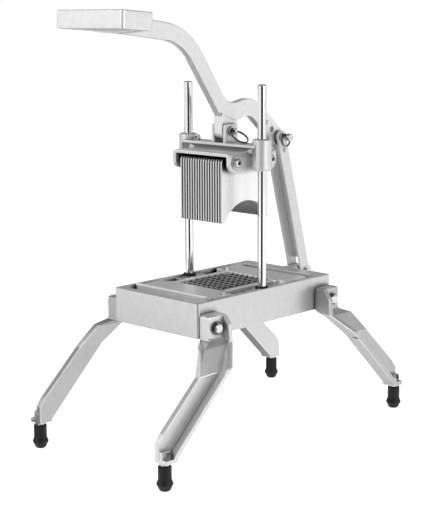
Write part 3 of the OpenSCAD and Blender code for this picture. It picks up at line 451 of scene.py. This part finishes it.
def bright_zinc(steel):
    """Plated fasteners, with painted shade in their corners."""
    finish = Finish("bright_zinc")
    clouds = finish.noise(scale=220, detail=3)
    colour = finish.clouded(clouds, steel.zinc, darkest=0.82)
    # Painted shade in the fasteners' corners
    finish.feed("Base Color", finish.painted_shade(colour, 4 * MM, darkest=0.05))
    finish.roughen(clouds, least=0.16, most=0.32)
    finish.feed("Normal", finish.bump(finish.noise(scale=900), distance=0.03 * MM, strength=0.3))
    finish.set(Metallic=1.0)
    return finish.material


def dark_spring(steel):
    """Dark spring steel of the lock washers and the split rings; on the split rings the dark colour is a
    painted dark reflection.
    """
    finish = Finish("dark_spring")
    clouds = finish.noise(scale=400, detail=3)
    finish.feed("Base Color", finish.clouded(clouds, steel.spring, darkest=0.7))
    finish.roughen(clouds, least=0.22, most=0.36)
    finish.set(Metallic=1.0)
    return finish.material


def sintered_bronze(steel):
    """Porous bronze of the bushes."""
    finish = Finish("sintered_bronze")
    pores = finish.noise(scale=1400)
    finish.feed("Base Color", finish.clouded(pores, steel.bronze, darkest=0.7))
    finish.roughen(pores, least=0.3, most=0.5)
    finish.set(Metallic=0.9)
    return finish.material


def black_rubber(rubber):
    """Moulded rubber with a faint bloom."""
    finish = Finish("black_rubber")
    bloom = finish.noise(scale=90, detail=4)
    finish.feed("Base Color", finish.mix(bloom, shade(rubber.colour, 0.7), shade(rubber.colour, 1.5)))
    finish.roughen(bloom, least=0.42, most=0.62)
    finish.feed("Normal", finish.bump(finish.noise(scale=1300), distance=0.04 * MM, strength=0.4))
    finish.set(Specular_IOR_Level=0.3)
    return finish.material


# Each finish by name, made from the settings s
FINISHES = {
    "lever_casting": lambda s: casting("lever_casting", s.casting, s.casting.lever_paleness),
    "tray_casting": lambda s: casting("tray_casting", s.casting, reach=1.5, pocket=POCKET),
    # The second leg finish is a darker copy of the first: painted shade on the front left and rear right
    # legs, with a brighter painted edge highlight
    "leg_casting": lambda s: casting(
        "leg_casting", s.casting, paleness=1.06, metallic=0.75, highlight=2.0),
    "grey_leg_casting": lambda s: casting(
        "grey_leg_casting", s.casting, paleness=0.72, metallic=0.8, edge=1.4, highlight=2.0),
    "carriage_casting": lambda s: casting(
        "carriage_casting", s.casting, paleness=1.10, reach=0.9, rough=0.42),
    # The blade frame and its lip get a painted highlight on the faces that look along Y; the lip's paler
    # colour is painted highlight too
    "plate_casting": lambda s: casting(
        "plate_casting", s.casting, paleness=1.25, edge=1.05, highlight=1.3, front=1.05),
    "lip_casting": lambda s: casting(
        "lip_casting", s.casting, paleness=1.4, metallic=0.5, reach=0.2, edge=0.75, front=1.05),
    "link_casting": lambda s: casting(
        "link_casting", s.casting, paleness=1.35, metallic=0.2, reach=0.25, edge=0.6),
    "ground_steel": lambda s: ground_steel(s.steel),
    "stainless_sheet": lambda s: brushed_sheet(s.steel),
    "blade_steel": lambda s: blade_steel(s.steel),
    "bright_fasteners": lambda s: bright_zinc(s.steel),
    "dark_spring": lambda s: dark_spring(s.steel),
    "bronze": lambda s: sintered_bronze(s.steel),
    "black_rubber": lambda s: black_rubber(s.rubber),
}
# Nodes whose finish isn't the one named after their material slot
OWN_FINISHES = {
    "base_frame": "tray_casting",
    # The front left and rear right legs take the darker copy, which paints shade on them
    "leg_front_left": "grey_leg_casting",
    "leg_front_right": "leg_casting",
    "leg_rear_left": "leg_casting",
    "leg_rear_right": "grey_leg_casting",
    "blade_frame": "plate_casting",
    "crosshead": "carriage_casting",
    "lever": "lever_casting",
    "link": "link_casting",
    "leg_washers": "dark_spring",
    "clevis_ring": "dark_spring",
    "rear_ring": "dark_spring",
}
# Split rings and blades keep the edges that they have
UNROUNDED = {"clevis_ring", "rear_ring", "long_blades", "cross_blades"}
made_finishes = {}


def finish_for(name):
    """A finish by name, made when it is first asked for."""
    if name not in made_finishes:
        made_finishes[name] = FINISHES[name](bpy.context.scene.fry_cutter)
    return made_finishes[name]


# Making pieces

def body_of_node(node):
    """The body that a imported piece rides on."""
    return frame["nodes"][node]["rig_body"]


def slot_of_node(node):
    """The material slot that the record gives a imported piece."""
    for part in frame["record"]["subparts"]:
        if part["node"] == node:
            return part["material_slot"]
    raise ValueError(f"no material slot is recorded for {node}")


def merged_copy(node):
    """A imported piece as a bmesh, with its loose triangles merged and its flat faces made whole."""
    mesh = bmesh.new()
    mesh.from_mesh(frame["nodes"][node].data)
    bmesh.ops.remove_doubles(mesh, verts=mesh.verts, dist=MERGE_GAP)
    bmesh.ops.dissolve_limit(
        mesh, angle_limit=FLAT_ANGLE, use_dissolve_boundaries=False,
        verts=mesh.verts, edges=mesh.edges)
    return mesh


def has_room(corner, sharp, least_length):
    """Whether the edges that meet at a corner are long enough for its sharp ones to be rounded."""
    marked = [edge for edge in corner.link_edges if edge in sharp]
    if any(edge.calc_length() < least_length for edge in corner.link_edges if edge not in sharp):
        return False
    if len(marked) == 2:
        first, second = (edge.other_vert(corner).co - corner.co for edge in marked)
        if first.angle(second, 0) > CHAIN_ANGLE:
            return True
    return all(edge.calc_length() > least_length for edge in marked)


def soften(mesh, radius, segments=2, least=SHARP_ANGLE, room=ROOM):
    """Rounds every edge that is sharper than least and has room, which is a share of the radius."""
    sharp = {edge for edge in mesh.edges if edge.is_manifold and edge.calc_face_angle(0) > least}
    crowded = True
    while crowded:
        crowded = {
            edge for edge in sharp if not all(has_room(end, sharp, room * radius) for end in edge.verts)}
        sharp -= crowded
    bmesh.ops.bevel(
        mesh, geom=[edge for edge in mesh.edges if edge in sharp], offset=radius, offset_type="OFFSET",
        affect="EDGES", segments=segments, profile=0.5, material=-1, clamp_overlap=False, loop_slide=True)


def place_piece(name, mesh, body, finish, stands_for=(), smooth=SMOOTH_ANGLE):
    """Turns a bmesh into a finished piece that rides on a body."""
    data = bpy.data.meshes.new(name)
    mesh.to_mesh(data)
    mesh.free()
    data.shade_smooth()
    data.set_sharp_from_angle(angle=smooth)
    piece = bpy.data.objects.new(name, data)
    bpy.context.scene.collection.objects.link(piece)
    data.materials.append(finish_for(finish))
    normals = piece.modifiers.new("even normals", "WEIGHTED_NORMAL")
    normals.keep_sharp = True
    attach(piece, body)
    if stands_for:
        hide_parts(*stands_for)


def dress(node, radius, segments=2, least=SHARP_ANGLE, smooth=SMOOTH_ANGLE, room=ROOM):
    """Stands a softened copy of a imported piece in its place."""
    mesh = merged_copy(node)
    if node not in UNROUNDED and radius > 0:
        soften(mesh, radius, segments, least, room)
    slot = slot_of_node(node)
    finish = OWN_FINISHES.get(node, slot)
    for place in frame["nodes"][node].material_slots:
        place.link = "OBJECT"
        place.material = finish_for(finish)
    place_piece(node + "_dressed", mesh, body_of_node(node), finish, stands_for=[node], smooth=smooth)


def make_lip(sizes):
    """The raised lip along the front of the blade frame, which hangs over the pocket's edge."""
    low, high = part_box("blade_frame")
    side, overhang, gap = 4 * MM, 1.6 * MM, 0.2 * MM
    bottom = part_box("base_frame")[1][2] + gap
    top = high[2] + sizes.lip_height
    middle = Vector((0, low[1] - overhang + sizes.lip_width / 2, (bottom + top) / 2))
    size = (high[0] - low[0] - 2 * side, sizes.lip_width, top - bottom, 1)
    mesh = bmesh.new()
    bmesh.ops.create_cube(mesh, size=1, matrix=Matrix.Translation(middle) @ Matrix.Diagonal(size))
    soften(mesh, sizes.link_edge, segments=3)
    place_piece(
        "blade_frame_lip", mesh, body_of_node("blade_frame"), "lip_casting")


class PieceOperator:
    """What every piece's operator shares: the nodes that it dresses, and the setting of their edges"""
    bl_options = {"REGISTER", "UNDO"}
    nodes = ()
    group, edge = "steel", "fastener_edge"
    rounding = {}

    def execute(self, context):
        radius = getattr(getattr(context.scene.fry_cutter, self.group), self.edge)
        for node in self.nodes:
            dress(node, radius, **self.rounding)
        return {"FINISHED"}


class FRYCUTTER_OT_tray(PieceOperator, bpy.types.Operator):
    """Dress the cast tray"""
    bl_idname = "fry_cutter.tray"
    bl_label = "Tray"
    nodes = ("base_frame",)
    group, edge = "casting", "tray_edge"


class FRYCUTTER_OT_legs(PieceOperator, bpy.types.Operator):
    """Dress the four cast legs"""
    bl_idname = "fry_cutter.legs"
    bl_label = "Legs"
    nodes = ("leg_front_left", "leg_front_right", "leg_rear_left", "leg_rear_right")
    group, edge = "casting", "leg_edge"
    rounding = {"segments": 3, "least": math.radians(14), "smooth": math.radians(24), "room": 1.3}


class FRYCUTTER_OT_leg_fasteners(PieceOperator, bpy.types.Operator):
    """Dress the fasteners at the top and the foot of the legs"""
    bl_idname = "fry_cutter.leg_fasteners"
    bl_label = "Leg fasteners"
    nodes = ("leg_bolts", "leg_washers", "leg_nuts", "foot_studs", "foot_nuts")


class FRYCUTTER_OT_rubber(PieceOperator, bpy.types.Operator):
    """Dress the rubber feet and the rings at the foot of the rods"""
    bl_idname = "fry_cutter.rubber"
    bl_label = "Feet and bumpers"
    nodes = ("rubber_feet", "rod_bumpers")
    group, edge = "rubber", "edge"


class FRYCUTTER_OT_rods(PieceOperator, bpy.types.Operator):
    """Dress the guide rods, their screws and their bushes"""
    bl_idname = "fry_cutter.rods"
    bl_label = "Guide rods"
    nodes = ("guide_rod_left", "guide_rod_right", "rod_screws", "guide_bush_left", "guide_bush_right")


class FRYCUTTER_OT_blades(PieceOperator, bpy.types.Operator):
    """Dress the blades, their frame and its fasteners"""
    bl_idname = "fry_cutter.blades"
    bl_label = "Blades"
    nodes = ("blade_studs", "blade_nuts", "long_blades", "cross_blades")

    def execute(self, context):
        sizes = context.scene.fry_cutter.casting
        dress("blade_frame", sizes.link_edge)
        make_lip(sizes)
        return super().execute(context)


class FRYCUTTER_OT_crosshead(PieceOperator, bpy.types.Operator):
    """Dress the sliding crosshead"""
    bl_idname = "fry_cutter.crosshead"
    bl_label = "Crosshead"
    nodes = ("crosshead",)
    group, edge = "casting", "carriage_edge"


class FRYCUTTER_OT_pusher(PieceOperator, bpy.types.Operator):
    """Dress the pusher plates and the spacers between them"""
    bl_idname = "fry_cutter.pusher"
    bl_label = "Pusher"
    nodes = ("pusher_plates", "plate_spacers")
    edge = "plate_edge"


class FRYCUTTER_OT_tie_bolts(PieceOperator, bpy.types.Operator):
    """Dress the tie bolts with their washers and nuts"""
    bl_idname = "fry_cutter.tie_bolts"
    bl_label = "Tie bolts"
    nodes = ("front_tie_bolt", "rear_tie_bolt", "tie_bolt_washers", "tie_bolt_nuts")


class FRYCUTTER_OT_lever(PieceOperator, bpy.types.Operator):
    """Dress the cast lever with its loop handle"""
    bl_idname = "fry_cutter.lever"
    bl_label = "Lever"
    nodes = ("lever",)
    group, edge = "casting", "lever_edge"


class FRYCUTTER_OT_link(PieceOperator, bpy.types.Operator):
    """Dress the channel link, its spacers and its foot pin"""
    bl_idname = "fry_cutter.link"
    bl_label = "Link"
    nodes = ("link_spacers", "link_foot_pin", "link_foot_clips")

    def execute(self, context):
        dress("link", context.scene.fry_cutter.casting.link_edge)
        return super().execute(context)


class FRYCUTTER_OT_pull_pins(PieceOperator, bpy.types.Operator):
    """Dress the two pull pins and their rings"""
    bl_idname = "fry_cutter.pull_pins"
    bl_label = "Pull pins"
    nodes = ("clevis_ring", "rear_ring", "clevis_pin", "rear_pin")


# The stage

def where_seen(tree, usual, seen_as):
    """A shader that is seen_as to the camera and in reflections, and usual elsewhere."""
    nodes, links = tree.nodes, tree.links
    path = nodes.new("ShaderNodeLightPath")
    seen = path.outputs["Is Camera Ray"]
    for kind in ("Is Glossy Ray", "Is Transmission Ray"):
        larger = nodes.new("ShaderNodeMath")
        larger.operation = "MAXIMUM"
        links.new(seen, larger.inputs[0])
        links.new(path.outputs[kind], larger.inputs[1])
        seen = larger.outputs[0]
    mix = nodes.new("ShaderNodeMixShader")
    links.new(seen, mix.inputs[0])
    links.new(usual, mix.inputs[1])
    links.new(seen_as, mix.inputs[2])
    return mix.outputs[0]


def make_world(stage):
    """Soft light that falls off towards the top, and white where it is seen."""
    world = bpy.data.worlds.new("studio")
    bpy.context.scene.world = world
    world.use_nodes = True
    tree = world.node_tree
    soft = tree.nodes["Background"]
    soft.inputs["Color"].default_value = (1, 1, 1, 1)
    direction = tree.nodes.new("ShaderNodeTexCoord")
    split = tree.nodes.new("ShaderNodeSeparateXYZ")
    tree.links.new(direction.outputs["Generated"], split.inputs[0])
    fall = tree.nodes.new("ShaderNodeMapRange")
    fall.inputs["To Min"].default_value = stage.sky
    fall.inputs["To Max"].default_value = stage.overhead
    tree.links.new(split.outputs["Z"], fall.inputs["Value"])
    tree.links.new(fall.outputs["Result"], soft.inputs["Strength"])
    white = tree.nodes.new("ShaderNodeBackground")
    white.inputs["Color"].default_value = (1, 1, 1, 1)
    tree.links.new(
        where_seen(tree, soft.outputs[0], white.outputs[0]), tree.nodes["World Output"].inputs["Surface"])


def make_floor(stage):
    """A pale floor that keeps the object's shadow and fades into the backdrop."""
    bpy.ops.mesh.primitive_circle_add(vertices=96, radius=9, fill_type="NGON")
    floor = bpy.context.object
    floor.name = "floor"
    material = bpy.data.materials.new("floor")
    material.use_nodes = True
    shader = material.node_tree.nodes["Principled BSDF"]
    grey = stage.floor_grey
    shader.inputs["Base Color"].default_value = (grey, grey, grey, 1)
    shader.inputs["Roughness"].default_value = 0.9
    shader.inputs["Specular IOR Level"].default_value = 0.1
    tree = material.node_tree
    lift = tree.nodes.new("ShaderNodeEmission")
    lift.inputs["Strength"].default_value = stage.floor_lift
    lifted = tree.nodes.new("ShaderNodeAddShader")
    tree.links.new(shader.outputs[0], lifted.inputs[0])
    tree.links.new(lift.outputs[0], lifted.inputs[1])
    tree.links.new(
        where_seen(tree, shader.outputs[0], lifted.outputs[0]),
        tree.nodes["Material Output"].inputs["Surface"])
    floor.data.materials.append(material)


def make_lamp(name, place, size, power):
    """A soft lamp that points at the object's middle."""
    light = bpy.data.lights.new(name, "AREA")
    light.shape = "RECTANGLE"
    light.size, light.size_y = size
    light.energy = power
    lamp = bpy.data.objects.new(name, light)
    bpy.context.scene.collection.objects.link(lamp)
    lamp.location = place
    lamp.rotation_mode = "QUATERNION"
    lamp.rotation_quaternion = (LAMP_TARGET - Vector(place)).to_track_quat("-Z", "Y")


def make_card(name, middle, across, along, grey):
    """A card that shows only in reflections, as a darker stripe along metal."""
    mesh = bmesh.new()
    turn = Matrix((across / 2, along / 2, across.cross(along).normalized())).transposed().to_4x4()
    bmesh.ops.create_grid(
        mesh, x_segments=1, y_segments=1, size=1, matrix=Matrix.Translation(middle) @ turn)
    data = bpy.data.meshes.new(name)
    mesh.to_mesh(data)
    mesh.free()
    card = bpy.data.objects.new(name, data)
    bpy.context.scene.collection.objects.link(card)
    material = bpy.data.materials.new(name)
    material.use_nodes = True
    tree = material.node_tree
    plain = tree.nodes.new("ShaderNodeEmission")
    plain.inputs["Color"].default_value = (grey, grey, grey, 1)
    tree.links.new(plain.outputs[0], tree.nodes["Material Output"].inputs["Surface"])
    data.materials.append(material)
    card.visible_camera = False
    card.visible_diffuse = False
    card.visible_shadow = False


def around(azimuth, distance, height=0.0):
    """A place at an azimuth, which is counted from the front towards the right."""
    return Vector((math.sin(azimuth) * distance, -math.cos(azimuth) * distance, height))


def level_across(azimuth, width):
    """A level stretch, square to the way out at an azimuth."""
    return Vector((math.cos(azimuth), math.sin(azimuth), 0)) * width


def make_standing_card(name, azimuth, distance, width, low, high, grey):
    """An upright card at an azimuth, which faces the object."""
    across = level_across(azimuth, width)
    middle = around(azimuth, distance, (low + high) / 2)
    make_card(name, middle, across, Vector((0, 0, high - low)), grey)


def make_mat(name, azimuth, near, far, width, height, grey):
    """A level card that reaches from near to far at an azimuth."""
    across = level_across(azimuth, width)
    middle = around(azimuth, (near + far) / 2, height)
    make_card(name, middle, across, around(azimuth, far - near), grey)


def make_camera(stage):
    """The camera, from its place and three angles."""
    yaw, pitch, roll = stage.camera_yaw, stage.camera_pitch, stage.camera_roll
    ahead = Vector((-math.sin(yaw) * math.cos(pitch), math.cos(yaw) * math.cos(pitch), -math.sin(pitch)))
    level = Vector((math.cos(yaw), math.sin(yaw), 0))
    above = level.cross(ahead)
    right = level * math.cos(roll) + above * math.sin(roll)
    up = above * math.cos(roll) - level * math.sin(roll)
    data = bpy.data.cameras.new("camera")
    data.lens = stage.lens
    data.sensor_width = 36
    data.clip_start, data.clip_end = 0.05, 50
    camera = bpy.data.objects.new("camera", data)
    bpy.context.scene.collection.objects.link(camera)
    turn = Matrix((right, up, -ahead)).transposed().to_4x4()
    camera.matrix_world = Matrix.Translation(Vector(stage.camera_place)) @ turn
    bpy.context.scene.camera = camera


class FRYCUTTER_OT_stage(bpy.types.Operator):
    """Set the floor, the light and the camera"""
    bl_idname = "fry_cutter.stage"
    bl_label = "Stage"
    bl_options = {"REGISTER", "UNDO"}

    def execute(self, context):
        stage = context.scene.fry_cutter.stage
        context.scene.view_settings.view_transform = "Standard"
        make_world(stage)
        make_floor(stage)
        make_lamp("key", place=(-0.9, -2.2, 1.9), size=(1.4, 1.4), power=stage.key_power)
        make_lamp("fill", place=(2.4, -0.2, 1.1), size=(0.8, 1.6), power=stage.fill_power)
        make_lamp("rear", place=(-0.6, 2.4, 1.7), size=(1.4, 1.0), power=stage.rear_power)
        yaw = stage.camera_yaw
        make_standing_card(
            "front_card", azimuth=yaw, distance=1.05, width=0.95, low=0.0, high=0.75, grey=0.01)
        make_mat("front_mat", azimuth=yaw, near=0.35, far=1.05, width=0.7, height=0.002, grey=0.45)
        make_mat("left_mat", azimuth=-math.pi / 2, near=0.15, far=0.75, width=1.0, height=0.002, grey=0.25)
        make_standing_card(
            "rear_card", azimuth=yaw + math.pi, distance=1.2, width=2.4, low=0.0, high=1.3, grey=0.35)
        make_standing_card(
            "left_card", azimuth=yaw - math.radians(120), distance=1.2, width=1.2, low=0.0, high=0.35,
            grey=0.4)
        make_mat("ceiling_card", azimuth=yaw, near=-2.0, far=2.0, width=4.0, height=1.5, grey=0.25)
        make_camera(stage)
        return {"FINISHED"}


class FRYCUTTER_PT_panel(bpy.types.Panel):
    """Lists the pieces and the stage in the sidebar"""
    bl_idname = "FRYCUTTER_PT_panel"
    bl_label = "Fry Cutter"
    bl_space_type = "VIEW_3D"
    bl_region_type = "UI"
    bl_category = "Fry Cutter"

    def draw(self, context):
        settings = context.scene.fry_cutter
        for group in ("casting", "steel", "rubber", "stage"):
            box = self.layout.box()
            values = getattr(settings, group)
            for name in values.__annotations__:
                box.prop(values, name)
        for operator in OPERATORS:
            self.layout.operator(operator.bl_idname)


SETTINGS = (CastingSettings, SteelSettings, RubberSettings, StageSettings, FryCutterSettings)
OPERATORS = (
    FRYCUTTER_OT_stage,
    FRYCUTTER_OT_tray,
    FRYCUTTER_OT_legs,
    FRYCUTTER_OT_leg_fasteners,
    FRYCUTTER_OT_rubber,
    FRYCUTTER_OT_rods,
    FRYCUTTER_OT_blades,
    FRYCUTTER_OT_crosshead,
    FRYCUTTER_OT_pusher,
    FRYCUTTER_OT_tie_bolts,
    FRYCUTTER_OT_lever,
    FRYCUTTER_OT_link,
    FRYCUTTER_OT_pull_pins,
)


def register():
    for cls in (*SETTINGS, *OPERATORS, FRYCUTTER_PT_panel):
        bpy.utils.register_class(cls)
    bpy.types.Scene.fry_cutter = bpy.props.PointerProperty(type=FryCutterSettings)


def unregister():
    del bpy.types.Scene.fry_cutter
    for cls in reversed((*SETTINGS, *OPERATORS, FRYCUTTER_PT_panel)):
        bpy.utils.unregister_class(cls)


def main():
    register()
    bpy.ops.fry_cutter.stage()
    bpy.ops.fry_cutter.tray()
    bpy.ops.fry_cutter.legs()
    bpy.ops.fry_cutter.leg_fasteners()
    bpy.ops.fry_cutter.rubber()
    bpy.ops.fry_cutter.rods()
    bpy.ops.fry_cutter.blades()
    bpy.ops.fry_cutter.crosshead()
    bpy.ops.fry_cutter.pusher()
    bpy.ops.fry_cutter.tie_bolts()
    bpy.ops.fry_cutter.lever()
    bpy.ops.fry_cutter.link()
    bpy.ops.fry_cutter.pull_pins()


if __name__ == "__main__":
    main()
